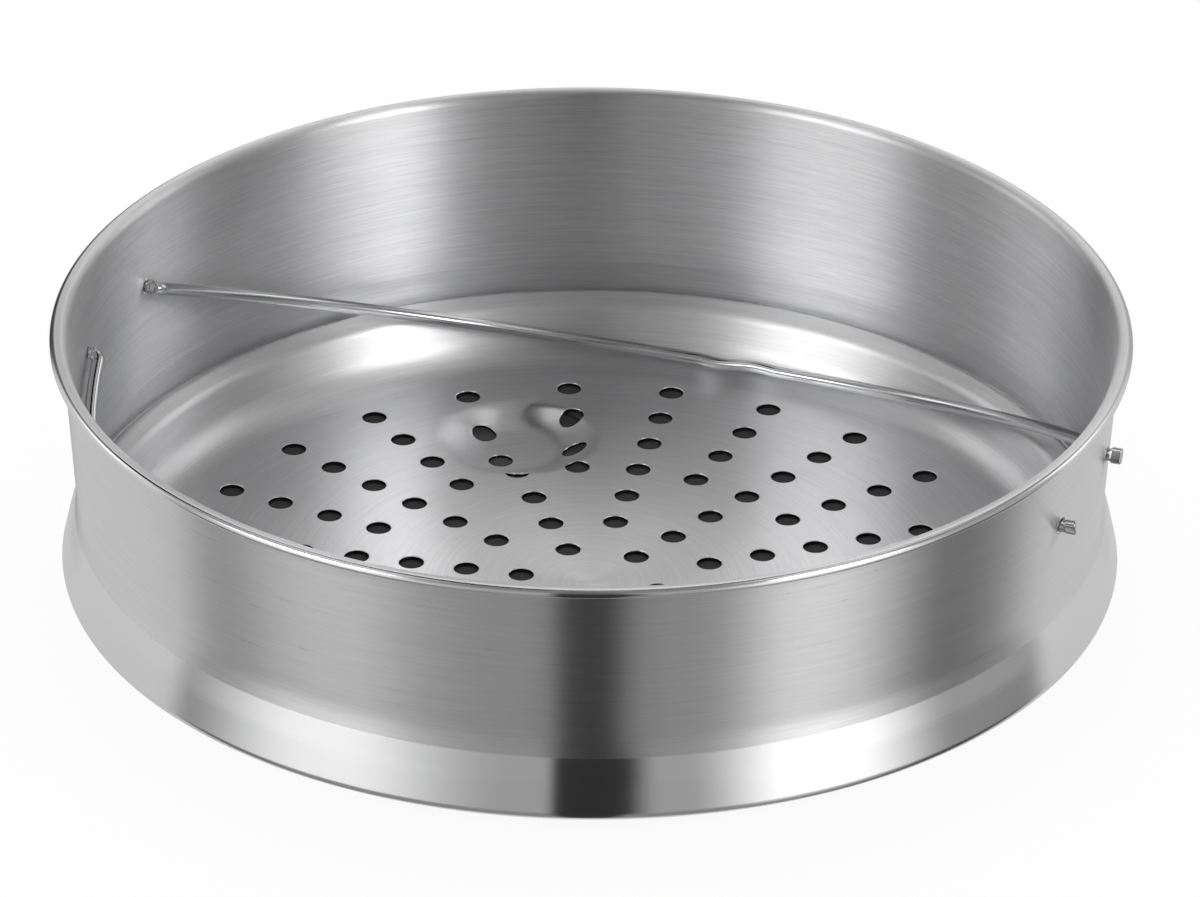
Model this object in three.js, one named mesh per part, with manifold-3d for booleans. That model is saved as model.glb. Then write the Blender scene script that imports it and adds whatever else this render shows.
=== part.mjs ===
// Stacking steamer tier: a spun steel ring with an out-turned lip and a flared skirt,
// a perforated pan seated inside the skirt, and two folding wire bails.
// Millimetres, +Z up. The origin is on the axis, at the level the pan's feet stand on.
import * as THREE from 'three';
import { mergeGeometries, mergeVertices } from 'three/addons/utils/BufferGeometryUtils.js';
import Module from 'manifold-3d';

const wasm = await Module();
wasm.setup();

// Ring: radii are on its outer face, heights are above the skirt's lower edge
const SHEET = 0.8;
const RIM_RADIUS = 106;
const RING_HEIGHT = 50.6;
const LIP_WIDTH = 2.6;
const LIP_BEND = 2;
const WALL_TAPER = 1.6;
const NECK_HEIGHT = 12.4;
const NECK_BEND = 3;
const SHOULDER_HEIGHT = 8.4;
const SHOULDER_FLARE = 1.8;
const SHOULDER_BEND = 8;
const SKIRT_FLARE = 1.3;
const EDGE_BEND = 1.6;
const TOE_WIDTH = 1;

// Pan: its flange seats inside the skirt, its feet are pressed down out of the floor
const PAN_SHEET = 0.8;
const SEAT_HEIGHT = 5.3;
const SEAT_CLEARANCE = 0.5;
const FLANGE_WIDTH = 4.6;
const FLANGE_RISE = 2;
const FLANGE_BEND = 2.5;
const PAN_DEPTH = 10.9;
const PAN_DRAFT = 4.8;
const PAN_FILLET = 10;
const FOOT_COUNT = 3;
const FOOT_CIRCLE = 62;
const FOOT_RADIUS = 15.5;
const FOOT_FLAT = 8;
const FOOT_DEPTH = 3.3;
const FOOT_TURN = 3.4;

// Perforation: holes on straight spokes, whose hole counts repeat round the floor
const HOLE_DIAMETER = 5;
const SPOKE_COUNT = 24;
const SPOKE_HOLES = [7, 4, 6, 4];
const SPOKE_TURN = 7.8;
const FIRST_HOLE = 13.9;
const HOLE_PITCH = 11.25;

// Bails: wire bent to the wall's curve, pivoting in holes through the wall
const WIRE = 2.5;
const PIVOT_DROP = 17.3;
const PIVOT_OFFSET = 15.2;
const PIVOT_CLEARANCE = 0.4;
const BAIL_WALL_GAP = 1.2;
const BAIL_BEND = 2;
const BAIL_REST_GAP = 0.3;
const STUB_LENGTH = 2.9;
const EAR_GAP = 0.5;
const EAR_LENGTH = 1.3;
const EAR_SPAN = 3.8;
const EAR_THICKNESS = 1.5;
const WAIST = 2;
const JOG = 0.5;
const JOG_LENGTH = 12;

// Facets: segments round the axis, sides of small rounds, angle of one bend step
const SEGMENTS = 48;
const HOLE_SIDES = 8;
const BORE_SIDES = 12;
const WIRE_SIDES = 8;
const BEND_STEP = THREE.MathUtils.degToRad(24);
const BAIL_STEP = THREE.MathUtils.degToRad(6);
const JOG_STEPS = 8;

// Heights, worked up from the feet
const floorTop = FOOT_DEPTH + PAN_SHEET;
const floorMiddle = floorTop - PAN_SHEET / 2;
const flangeCorner = floorMiddle + PAN_DEPTH;
const seatLevel = flangeCorner + FLANGE_RISE;
const skirtEdge = seatLevel - SEAT_HEIGHT;
const rimTop = skirtEdge + RING_HEIGHT;
const pivotLevel = rimTop - PIVOT_DROP;

// Points of a line in the (radius, height) plane, with an arc at each corner that has a bend
function bentLine(corners) {
  const at = corners.map(({ r, z }) => new THREE.Vector2(r, z));
  return corners.flatMap(({ bend }, i) => {
    if (!bend) return [at[i]];
    const back = at[i - 1].clone().sub(at[i]).normalize();
    const ahead = at[i + 1].clone().sub(at[i]).normalize();
    const half = Math.acos(back.dot(ahead)) / 2;
    const middle = back.clone().add(ahead).normalize();
    const centre = at[i].clone().addScaledVector(middle, bend / Math.sin(half));
    const start = at[i].clone().addScaledVector(back, bend / Math.tan(half)).sub(centre);
    const turn = Math.sign(back.cross(ahead)) * (Math.PI - 2 * half);
    const steps = Math.max(2, Math.ceil(Math.abs(turn) / BEND_STEP));
    return Array.from({ length: steps + 1 }, (_, k) =>
      start.clone().rotateAround(new THREE.Vector2(), -turn * k / steps).add(centre));
  });
}

// The two faces of a sheet whose middle follows a line: the left one first
function sheetFaces(line, thickness) {
  const face = (side) => line.map((point, i) => {
    const before = point.clone().sub(line[Math.max(i - 1, 0)]).normalize();
    const after = line[Math.min(i + 1, line.length - 1)].clone().sub(point).normalize();
    const along = before.clone().add(after).normalize();
    const straight = i === 0 ? after : before;
    const reach = thickness / 2 / Math.max(along.dot(straight), 0.5);
    return point.clone().add(new THREE.Vector2(-along.y, along.x).multiplyScalar(side * reach));
  });
  return [face(1), face(-1)];
}

// A closed geometry as a solid, and a solid as a geometry again
function toSolid(geometry) {
  const bare = geometry.clone();
  bare.deleteAttribute('normal');
  bare.deleteAttribute('uv');
  const merged = mergeVertices(bare, 1e-4);
  const index = Array.from(merged.index.array);
  const corners = [];
  for (let i = 0; i < index.length; i += 3) {
    const [a, b, c] = index.slice(i, i + 3);
    if (a !== b && b !== c && c !== a) corners.push(a, b, c);
  }
  return new wasm.Manifold(new wasm.Mesh({
    numProp: 3,
    vertProperties: new Float32Array(merged.attributes.position.array),
    triVerts: new Uint32Array(corners),
  }));
}

function toGeometry(solid) {
  const mesh = solid.getMesh();
  const geometry = new THREE.BufferGeometry();
  geometry.setAttribute('position', new THREE.BufferAttribute(mesh.vertProperties, 3));
  geometry.setIndex(new THREE.BufferAttribute(mesh.triVerts, 1));
  geometry.computeVertexNormals();
  return geometry;
}

// A closed outline in the (radius, height) plane, turned about the Z axis
function turned(outline) {
  const upward = THREE.ShapeUtils.area(outline) > 0 ? outline : [...outline].reverse();
  return new THREE.LatheGeometry([...upward, upward[0]], SEGMENTS).rotateX(Math.PI / 2);
}

// An upright round bar from one height to another
function uprightBar(radius, low, high, sides) {
  const bar = new THREE.CylinderGeometry(radius, radius, high - low, sides);
  return bar.rotateX(Math.PI / 2).translate(0, 0, (low + high) / 2);
}

// Radius at which a face that runs down the ring's skirt passes a height
function radiusAt(face, height) {
  const next = face.findLastIndex((point, i) => i > 0 && face[i - 1].y >= height && point.y < height);
  const [above, below] = [face[next - 1], face[next]];
  return THREE.MathUtils.mapLinear(height, above.y, below.y, above.x, below.x);
}

// Middle of the ring's sheet, from the lip's edge down to the toe turned in under the skirt
const wallTop = RIM_RADIUS - LIP_WIDTH - SHEET / 2;
const neckMiddle = wallTop - WALL_TAPER;
const shoulderMiddle = neckMiddle + SHOULDER_FLARE;
const skirtMiddle = shoulderMiddle + SKIRT_FLARE;
const toeEnd = skirtMiddle + SHEET / 2 - EDGE_BEND - TOE_WIDTH;
const ringLine = bentLine([
  { r: RIM_RADIUS, z: rimTop - SHEET / 2 },
  { r: wallTop, z: rimTop - SHEET / 2, bend: LIP_BEND - SHEET / 2 },
  { r: neckMiddle, z: skirtEdge + NECK_HEIGHT, bend: NECK_BEND },
  { r: shoulderMiddle, z: skirtEdge + SHOULDER_HEIGHT, bend: SHOULDER_BEND },
  { r: skirtMiddle, z: skirtEdge + SHEET / 2, bend: EDGE_BEND - SHEET / 2 },
  { r: toeEnd, z: skirtEdge + SHEET / 2 },
]);
const ringFaces = sheetFaces(ringLine, SHEET);
const skirtInside = ringFaces.reduce((a, b) => (radiusAt(a, seatLevel) < radiusAt(b, seatLevel) ? a : b));

// Wall on the pivots' level, and where the pivot line crosses it
const neckLevel = skirtEdge + NECK_HEIGHT;
const wallRun = (rimTop - pivotLevel) / (rimTop - neckLevel);
const wallOutside = wallTop + SHEET / 2 - WALL_TAPER * wallRun;
const wallInside = wallOutside - SHEET;
const pivotOutside = Math.sqrt(wallOutside ** 2 - PIVOT_OFFSET ** 2);
const pivotInside = Math.sqrt(wallInside ** 2 - PIVOT_OFFSET ** 2);

function bodyRing() {
  const [left, right] = ringFaces;
  const sheet = toSolid(turned([...left, ...[...right].reverse()]));
  const bore = WIRE / 2 + PIVOT_CLEARANCE;
  const drills = [-1, 1].map((side) => {
    const drill = new THREE.CylinderGeometry(bore, bore, 2 * RIM_RADIUS, BORE_SIDES);
    return drill.rotateZ(Math.PI / 2).translate(0, side * PIVOT_OFFSET, pivotLevel);
  });
  return toGeometry(sheet.subtract(toSolid(mergeGeometries(drills))));
}

// Middle of the pan's sheet, from the flange's edge down to the centre of the floor
const flangeEdge = radiusAt(skirtInside, seatLevel) - SEAT_CLEARANCE;
const flangeBend = flangeEdge - FLANGE_WIDTH;
const panLine = bentLine([
  { r: flangeEdge, z: seatLevel },
  { r: flangeBend, z: flangeCorner, bend: FLANGE_BEND },
  { r: flangeBend - PAN_DRAFT, z: floorMiddle, bend: PAN_FILLET },
  { r: 0, z: floorMiddle },
]);
const panFaces = sheetFaces(panLine, PAN_SHEET);
const panInside = panFaces.reduce((a, b) => (a.at(-1).y > b.at(-1).y ? a : b));

// One foot as a solid plug: the outside of the pressed dimple, or the hollow in it
function footPlug(topRadius, flatRadius, top, bottom) {
  const plug = new THREE.CylinderGeometry(topRadius, flatRadius, top - bottom, SEGMENTS / 2);
  return plug.rotateX(Math.PI / 2).translate(FOOT_CIRCLE, 0, (top + bottom) / 2);
}

function perforatedPan() {
  const [left, right] = panFaces;
  const dish = toSolid(turned([...left, ...[...right].reverse()]));
  const slope = Math.atan2(FOOT_DEPTH, FOOT_RADIUS - FOOT_FLAT);
  const swell = PAN_SHEET * Math.tan(slope / 2);
  const underFloor = floorTop - PAN_SHEET;
  const feet = [];
  const hollows = [];
  for (let i = 0; i < FOOT_COUNT; i += 1) {
    const turn = THREE.MathUtils.degToRad(FOOT_TURN) + 2 * Math.PI * i / FOOT_COUNT;
    feet.push(footPlug(FOOT_RADIUS + swell, FOOT_FLAT + swell, underFloor, 0).rotateZ(turn));
    hollows.push(footPlug(FOOT_RADIUS, FOOT_FLAT, floorTop, PAN_SHEET).rotateZ(turn));
  }
  const holes = [];
  for (let spoke = 0; spoke < SPOKE_COUNT; spoke += 1) {
    const turn = THREE.MathUtils.degToRad(SPOKE_TURN) + 2 * Math.PI * spoke / SPOKE_COUNT;
    const count = SPOKE_HOLES[spoke % SPOKE_HOLES.length];
    const longest = Math.max(...SPOKE_HOLES);
    for (let i = longest - count; i < longest; i += 1) {
      const hole = uprightBar(HOLE_DIAMETER / 2, -PAN_SHEET, floorTop + PAN_SHEET, HOLE_SIDES);
      holes.push(hole.translate(FIRST_HOLE + i * HOLE_PITCH, 0, 0).rotateZ(turn));
    }
  }
  const pressed = dish.add(toSolid(mergeGeometries(feet))).subtract(toSolid(mergeGeometries(hollows)));
  return toGeometry(pressed.subtract(toSolid(mergeGeometries(holes))));
}

// Bail in its own plane: x along the pivot line, y towards the crown, z out of the plane.
// The arc's centre lies on the vessel's axis when the bail is level.
const arcRadius = wallInside - BAIL_WALL_GAP - WIRE / 2;
const bendCentre = Math.sqrt((arcRadius + BAIL_BEND) ** 2 - (PIVOT_OFFSET + BAIL_BEND) ** 2);
const arcStart = Math.atan2(PIVOT_OFFSET + BAIL_BEND, bendCentre);
const crown = arcRadius - PIVOT_OFFSET;

// Stations of one half, from the stub's tip outside the wall to the crown:
// centre, direction, and the wire's size in the bail's plane and across it
function bailHalf() {
  const inward = new THREE.Vector2(-1, 0);
  const round = (x) => ({ at: new THREE.Vector2(x, 0), along: inward, flat: WIRE, tall: WIRE });
  const pinch = (x, tall) => ({ at: new THREE.Vector2(x, 0), along: inward, flat: EAR_THICKNESS, tall });
  const ear = EAR_GAP + EAR_LENGTH / 2;
  const earEnd = EAR_GAP + EAR_LENGTH;
  const tipEar = (earEnd + STUB_LENGTH) / 2;
  const waist = { at: new THREE.Vector2(pivotOutside + earEnd, 0), along: inward, flat: WAIST, tall: WAIST };
  const stations = [
    pinch(pivotOutside + STUB_LENGTH, WIRE),
    pinch(pivotOutside + tipEar, EAR_SPAN),
    waist,
    pinch(pivotOutside + ear, EAR_SPAN),
    round(pivotOutside + EAR_GAP),
    round(pivotInside - EAR_GAP),
    pinch(pivotInside - ear, EAR_SPAN),
    round(pivotInside - earEnd),
  ];
  const bendTurn = Math.PI / 2 + arcStart;
  const bendSteps = Math.ceil(bendTurn / (2 * BEND_STEP)) + 1;
  for (let i = 0; i <= bendSteps; i += 1) {
    const a = -Math.PI / 2 - bendTurn * i / bendSteps;
    const at = new THREE.Vector2(bendCentre + BAIL_BEND * Math.cos(a), BAIL_BEND * (1 + Math.sin(a)));
    stations.push({ at, along: new THREE.Vector2(Math.sin(a), -Math.cos(a)), flat: WIRE, tall: WIRE });
  }
  const jogStart = Math.PI / 2 - JOG_LENGTH / 2 / arcRadius;
  const plainSteps = Math.ceil((jogStart - arcStart) / BAIL_STEP);
  const angles = [];
  for (let i = 1; i <= plainSteps; i += 1) {
    angles.push(THREE.MathUtils.lerp(arcStart, jogStart, i / plainSteps));
  }
  for (let i = 1; i <= JOG_STEPS / 2; i += 1) {
    angles.push(THREE.MathUtils.lerp(jogStart, Math.PI / 2, 2 * i / JOG_STEPS));
  }
  for (const a of angles) {
    const at = new THREE.Vector2(arcRadius * Math.cos(a), arcRadius * Math.sin(a) - PIVOT_OFFSET);
    stations.push({ at, along: new THREE.Vector2(-Math.sin(a), Math.cos(a)), flat: WIRE, tall: WIRE });
  }
  return stations;
}

// Small kink at the crown, where the wire steps across its own plane and back
function jogAt(x) {
  return Math.abs(x) < JOG_LENGTH / 2 ? JOG * Math.sin(2 * Math.PI * x / JOG_LENGTH) : 0;
}

function bailWire() {
  const half = bailHalf();
  const mirrored = half.slice(0, -1).reverse().map(({ at, along, flat, tall }) => ({
    at: new THREE.Vector2(-at.x, at.y), along: new THREE.Vector2(along.x, -along.y), flat, tall,
  }));
  const stations = [...half, ...mirrored];
  const vertices = [];
  const faces = [];
  for (const { at, along, flat, tall } of stations) {
    for (let k = 0; k < WIRE_SIDES; k += 1) {
      const a = 2 * Math.PI * (k + 0.5) / WIRE_SIDES;
      const across = flat / 2 * Math.cos(a);
      const height = jogAt(at.x) + tall / 2 * Math.sin(a);
      vertices.push(at.x - along.y * across, at.y + along.x * across, height);
    }
  }
  const ringStart = (i) => i * WIRE_SIDES;
  for (let i = 0; i < stations.length - 1; i += 1) {
    for (let k = 0; k < WIRE_SIDES; k += 1) {
      const [a, b] = [ringStart(i) + k, ringStart(i) + (k + 1) % WIRE_SIDES];
      faces.push(a, b, b + WIRE_SIDES, a, b + WIRE_SIDES, a + WIRE_SIDES);
    }
  }
  const last = ringStart(stations.length - 1);
  for (let k = 1; k < WIRE_SIDES - 1; k += 1) {
    faces.push(0, k + 1, k, last, last + k, last + k + 1);
  }
  const geometry = new THREE.BufferGeometry();
  geometry.setAttribute('position', new THREE.Float32BufferAttribute(vertices, 3));
  geometry.setIndex(faces);
  geometry.computeVertexNormals();
  return geometry;
}

// Angle below level at which a bail's crown comes to rest on the pan
function restAngle() {
  const reach = WIRE / 2 + JOG + BAIL_REST_GAP;
  const clear = (angle) => {
    const spot = new THREE.Vector2(PIVOT_OFFSET + crown * Math.cos(angle), pivotLevel - crown * Math.sin(angle));
    const gaps = panInside.slice(1).map((end, i) => {
      const run = end.clone().sub(panInside[i]);
      const share = spot.clone().sub(panInside[i]).dot(run) / run.lengthSq();
      const nearest = panInside[i].clone().addScaledVector(run, THREE.MathUtils.clamp(share, 0, 1));
      return nearest.distanceTo(spot);
    });
    return Math.min(...gaps) - reach;
  };
  const step = THREE.MathUtils.degToRad(0.05);
  let angle = 0;
  while (angle < Math.PI / 2 && clear(angle + step) > 0) angle += step;
  return angle;
}

const brushedSteel = () => new THREE.MeshStandardMaterial({ color: 0xb4b6b8, roughness: 0.38, metalness: 1 });
const brightWire = () => new THREE.MeshStandardMaterial({ color: 0xc6c8ca, roughness: 0.2, metalness: 1 });

function named(name, geometry, material) {
  const mesh = new THREE.Mesh(geometry, material);
  mesh.name = name;
  return mesh;
}

// Each bail hangs on its pivot line, folded outward and down onto the pan
function bail(name, turn) {
  const fold = new THREE.Group();
  fold.position.set(0, PIVOT_OFFSET, pivotLevel);
  fold.rotation.x = -restAngle();
  fold.add(named(name, bailWire(), brightWire()));
  const side = new THREE.Group();
  side.rotation.z = turn;
  side.add(fold);
  return side;
}

const steamerTier = new THREE.Group();
steamerTier.add(named('body_ring', bodyRing(), brushedSteel()));
steamerTier.add(named('perforated_pan', perforatedPan(), brushedSteel()));
steamerTier.add(bail('rear_bail', 0));
steamerTier.add(bail('front_bail', Math.PI));

export default steamerTier;
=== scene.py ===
# %% [markdown]
# # A stacking steamer tier in brushed steel
#
# One tier of a stacking steamer: a spun steel ring, a perforated pan inside its skirt, and two
# wire bails that fold down onto the pan. The packed CAD model fixes every size and place. This
# lesson makes a finer mesh for each of its pieces, in the same frame, and gives it its finish.
# Sizes are written in millimetres, as a drawing has them, and turned into metres at the end.

# %% Load the packed model
import math

import bmesh
import bpy
import numpy as np
from mathutils import Matrix, Vector
from mathutils.geometry import tessellate_polygon


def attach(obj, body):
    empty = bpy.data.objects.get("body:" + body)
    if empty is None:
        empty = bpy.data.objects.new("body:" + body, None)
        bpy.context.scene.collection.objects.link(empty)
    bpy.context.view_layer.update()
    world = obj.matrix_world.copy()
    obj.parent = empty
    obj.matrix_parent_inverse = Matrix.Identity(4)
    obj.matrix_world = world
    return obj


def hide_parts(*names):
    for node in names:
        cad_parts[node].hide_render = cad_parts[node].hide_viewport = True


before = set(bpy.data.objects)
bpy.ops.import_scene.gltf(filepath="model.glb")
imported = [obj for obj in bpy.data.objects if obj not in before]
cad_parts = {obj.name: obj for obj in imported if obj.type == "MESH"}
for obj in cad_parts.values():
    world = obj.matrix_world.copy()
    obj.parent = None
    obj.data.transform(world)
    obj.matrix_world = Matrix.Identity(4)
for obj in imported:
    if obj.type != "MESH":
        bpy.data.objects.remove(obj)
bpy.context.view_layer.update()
MM = 0.001

# %% [markdown]
# The camera stands well back with a long lens, so the far rim looks nearly as wide as the near
# one. Its place is turned about the upright axis, raised, and then aimed with three small
# turns of its own: that reads more easily than one long matrix.

# %% Place the camera
scene = bpy.context.scene
scene.view_settings.view_transform = "Standard"

RIM_TOP = 61.9
VIEW_TURN = math.radians(19.6)
VIEW_RISE = math.radians(27.81)
VIEW_DISTANCE = 1664.3
AIM_DOWN = math.radians(0.833)
AIM_RIGHT = math.radians(0.064)
AIM_ROLL = math.radians(0.387)
SENSOR = 36
LENS = 255

lens = bpy.data.cameras.new("photo_camera")
lens.sensor_width = SENSOR
lens.lens = LENS
camera = bpy.data.objects.new("photo_camera", lens)
scene.collection.objects.link(camera)
stand = (0, -VIEW_DISTANCE * math.cos(VIEW_RISE), RIM_TOP + VIEW_DISTANCE * math.sin(VIEW_RISE))
camera.matrix_world = (
    Matrix.Rotation(VIEW_TURN, 4, "Z")
    @ Matrix.Translation([v * MM for v in stand])
    @ Matrix.Rotation(math.pi / 2 - VIEW_RISE - AIM_DOWN, 4, "X")
    @ Matrix.Rotation(-AIM_RIGHT, 4, "Y")
    @ Matrix.Rotation(AIM_ROLL, 4, "Z")
)
scene.camera = camera
print("camera at", [round(v, 3) for v in camera.matrix_world.translation])

# %% [markdown]
# Materials are node trees, and a formula in nodes is hard to read. This class wraps one output
# of a node, so that `1 - mask * 0.5` adds the Math nodes by itself. Every other node is made by
# its `node` method, from a type, its settings and its inputs.


# %% Shader maths written as Python
class Tap:
    """One output of a shader node."""

    def __init__(self, socket):
        self.socket = socket

    @staticmethod
    def node(tree, kind, settings=None, inputs=None, out=0):
        made = tree.nodes.new(kind)
        for name, value in (settings or {}).items():
            setattr(made, name, value)
        for name, value in (inputs or {}).items():
            if isinstance(value, Tap):
                tree.links.new(value.socket, made.inputs[name])
            else:
                made.inputs[name].default_value = value
        return Tap(made.outputs[out]) if made.outputs else None

    def math(self, operation, *others):
        terms = dict(enumerate((self, *others)))
        return Tap.node(self.socket.id_data, "ShaderNodeMath", {"operation": operation}, terms)

    def step(self, low, high):
        """0 below low, 1 above high, and smooth between them."""
        ends = {"Value": self, "From Min": low, "From Max": high}
        smooth = {"interpolation_type": "SMOOTHSTEP"}
        return Tap.node(self.socket.id_data, "ShaderNodeMapRange", smooth, ends)

    def blend(self, start, end):
        """A value that goes from start to end while this mask goes from 0 to 1."""
        return start + self * (end - start)

    def parts(self):
        """X, Y and Z of a vector."""
        split = Tap.node(self.socket.id_data, "ShaderNodeSeparateXYZ", None, {"Vector": self})
        return [Tap(socket) for socket in split.socket.node.outputs]

    def __add__(self, other):
        return self.math("ADD", other)

    def __sub__(self, other):
        return self.math("SUBTRACT", other)

    def __rsub__(self, other):
        return self * -1 + other

    def __mul__(self, other):
        return self.math("MULTIPLY", other)

    __radd__ = __add__
    __rmul__ = __mul__


def new_material(name):
    """A material with an empty node tree."""
    material = bpy.data.materials.new(name)
    material.use_nodes = True
    material.node_tree.nodes.clear()
    return material, material.node_tree


print("shader maths ready:", Tap.__doc__)

# %% [markdown]
# Steel has no colour of its own to speak of: it looks like its surroundings. So the studio
# matters as much as the metal. It is a white floor under a white sky, and a light tent that only
# reflections see, so it neither shades the floor nor hides the pot. The floor glows to camera
# and reflections, so that it looks white without more light on the steel, and keeps the pot's
# shadow. Under the pan its colour and glow are painted dark, a painted shade, because little
# light gets in there. A small patch of the same floor is all that the steel mirrors: further
# out the tent takes its place.


# %% Floor and sky
def stage_mesh(name, points, faces, material):
    """A mesh that belongs to the studio and not to the pot."""
    mesh = bpy.data.meshes.new(name)
    mesh.from_pydata(points, [], faces)
    mesh.materials.append(material)
    made = bpy.data.objects.new(name, mesh)
    scene.collection.objects.link(made)
    return made


def round_spots(radius, sides, x=0, y=0):
    """Points on a circle."""
    turns = [2 * math.pi * side / sides for side in range(sides)]
    return [(x + radius * math.cos(a), y + radius * math.sin(a)) for a in turns]


FLOOR_HALF = 4
FLOOR_DROP = 0.2 * MM
FLOOR_WHITE = 0.96
FLOOR_GLOW = 0.93
# Painted shade: inside these radii the floor's colour and glow are painted nearly black.
SHADE_INNER, SHADE_OUTER = 79 * MM, 81 * MM
PAINTED_SHADE_LEVEL = 0.04
PAINTED_SHADE_GLOW = 0.02
PATCH_RADIUS = 100 * MM
PATCH_SIDES = 96
SKY_LEVEL = 1.0

floor_paint, tree = new_material("white_floor")
x, y, _ = Tap.node(tree, "ShaderNodeTexCoord", None, None, "Object").parts()
# Painted shade under the pan: dark colour and almost no glow inside the shade radius.
outside_painted_shade = (x * x + y * y).math("SQRT").step(SHADE_INNER, SHADE_OUTER)
white = outside_painted_shade.blend(PAINTED_SHADE_LEVEL, FLOOR_WHITE)
paper = Tap.node(tree, "ShaderNodeBsdfDiffuse", None, {"Color": white})
glow = Tap.node(tree, "ShaderNodeEmission", None, {"Strength": 1.0})
rays = Tap.node(tree, "ShaderNodeLightPath").socket.node.outputs
seen = Tap(rays["Is Camera Ray"]) + Tap(rays["Is Glossy Ray"]) + Tap(rays["Is Transmission Ray"])
lit = seen * outside_painted_shade.blend(PAINTED_SHADE_GLOW, FLOOR_GLOW)
shader = Tap.node(tree, "ShaderNodeMixShader", None, {"Fac": lit, 1: paper, 2: glow})
Tap.node(tree, "ShaderNodeOutputMaterial", None, {"Surface": shader})
signs = ((-1, -1), (1, -1), (1, 1), (-1, 1))
corners = [(a * FLOOR_HALF, b * FLOOR_HALF, -FLOOR_DROP) for a, b in signs]
studio_floor = stage_mesh("studio_floor", corners, [(0, 1, 2, 3)], floor_paint)
studio_floor.visible_glossy = False
patch = [(a, b, -FLOOR_DROP / 2) for a, b in round_spots(PATCH_RADIUS, PATCH_SIDES)]
stage_mesh("floor_patch", patch, [tuple(range(PATCH_SIDES))], floor_paint)

sky = bpy.data.worlds.new("white_sky")
sky.use_nodes = True
sky.node_tree.nodes.clear()
clear_sky = {"Color": (1, 1, 1, 1), "Strength": SKY_LEVEL}
light = Tap.node(sky.node_tree, "ShaderNodeBackground", None, clear_sky)
Tap.node(sky.node_tree, "ShaderNodeOutputWorld", None, {"Surface": light})
sky.cycles.sampling_method = "NONE"
scene.world = sky
print("floor reaches", FLOOR_HALF, "m each way")

# %% [markdown]
# The tent is one dome, and its glow is worked out from the direction in which the pot sees it.
# Lamps of Blender's own could light the steel too, but each would be one more hard edge to place,
# and masks on a dome blend softly. `turn` is the bearing in degrees: the camera is at 0 and its
# right-hand side is positive. `up` is the sine of the height above the horizon. Each face of the
# pot mirrors its own band of heights. The outer wall looks below the horizon, skirt and shoulder
# look just above it, the pan's side looks higher, and the inner wall spreads what lies above.


# %% Bearings and bands of the tent
def panel(value, start, full, fade, end):
    """1 on a panel of the tent, with soft edges from start to full and from fade to end."""
    return value.step(start, full) * (1 - value.step(fade, end))


MIDDLE_BAND = (-0.4, -0.1)
HIGH_BAND = (0.26, 0.4)
TOP_BAND = (0.36, 0.48)
CEILING_BAND = (0.54, 0.68)

tent_cloth, tree = new_material("light_tent")
way = Tap.node(tree, "ShaderNodeTexCoord", None, None, "Object")
way = Tap.node(tree, "ShaderNodeVectorMath", {"operation": "NORMALIZE"}, {0: way})
right, away, up = way.parts()
turn = right.math("ARCTAN2", away * -1) * math.degrees(1)
around = turn.math("ABSOLUTE")
aside = right.math("ABSOLUTE")
rise = up.step(*MIDDLE_BAND)
high = up.step(*HIGH_BAND)
top = up.step(*TOP_BAND)
ceiling = up.step(*CEILING_BAND)
mid = rise * (1 - high)


def by_band(low, middle, above):
    """A value that is set apart for the low, the middle and the high band."""
    return low + mid * (middle - low) + high * (above - low)


starts = [band[0] for band in (MIDDLE_BAND, HIGH_BAND, TOP_BAND, CEILING_BAND)]
print("bands start at", [round(math.degrees(math.asin(v))) for v in starts], "degrees up")

# %% [markdown]
# A softbox on either side of the camera makes the bright zones. Each of its four edges has a
# bearing for the low, the middle and the high band. The boxes are dimmer where the shoulder
# mirrors them and strongest at their tops, because the inner wall catches only a little of that
# light. Two banks on the ceiling light the pan's flange, and a soft light high at the back lights
# the part of the floor that lies behind.

# %% Softboxes, banks and back light
LEFT_BOX = ((-92, -89, -88), (-55, -55, -59), (-46, -50, -50), (-28, -14, -34))
LEFT_FOOT = (-0.38, -0.12)
LEFT_LEVEL, LEFT_HIGH, LEFT_TOP = 1, 0.3, 5.2
RIGHT_BOX = ((26, 18, 34), (40, 40, 44), (46, 53, 49), (72, 77, 72))
RIGHT_FOOT = (-0.75, -0.5)
RIGHT_LOW, RIGHT_LEVEL, RIGHT_HIGH, RIGHT_TOP = 0.35, 0.95, 0.5, 7.2
SHOULDER_BAND = (0.0, 0.07, 0.2, 0.28)
SHOULDER_DIM = 0.6
BANK_EDGES = (0.26, 0.34, 0.48, 0.56)
BANK_ENDS = (0.3, 0.5)
BANK_LEVEL = 0.55
BACK_LIGHT_BAND = (0.48, 0.6, 0.8, 0.92)
BACK_LIGHT_FRONT = (0.1, 0.4)
BACK_LIGHT_SIDES = (0.2, 0.45)
BACK_LIGHT_LEVEL = 0.65

dip = panel(up, *SHOULDER_BAND) * SHOULDER_DIM
left_glow = up.step(*LEFT_FOOT) * (LEFT_LEVEL - dip + high * LEFT_HIGH + top * LEFT_TOP)
right_glow = up.step(*RIGHT_FOOT) * RIGHT_LOW + rise * RIGHT_LEVEL - dip
right_glow = right_glow + high * RIGHT_HIGH + top * RIGHT_TOP
box_left = panel(turn, *[by_band(*edge) for edge in LEFT_BOX]) * left_glow
box_right = panel(turn, *[by_band(*edge) for edge in RIGHT_BOX]) * right_glow
banks = panel(aside, *BANK_EDGES) * (1 - away.math("ABSOLUTE").step(*BANK_ENDS))
back_light = panel(up, *BACK_LIGHT_BAND) * away.step(*BACK_LIGHT_FRONT)
back_light = back_light * (1 - aside.step(*BACK_LIGHT_SIDES))
boxes = (box_left + box_right) * (1 - ceiling) + banks * ceiling * BANK_LEVEL
boxes = boxes + back_light * BACK_LIGHT_LEVEL
print("softbox tops glow at", LEFT_TOP, "on the left and", RIGHT_TOP, "on the right")

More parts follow.
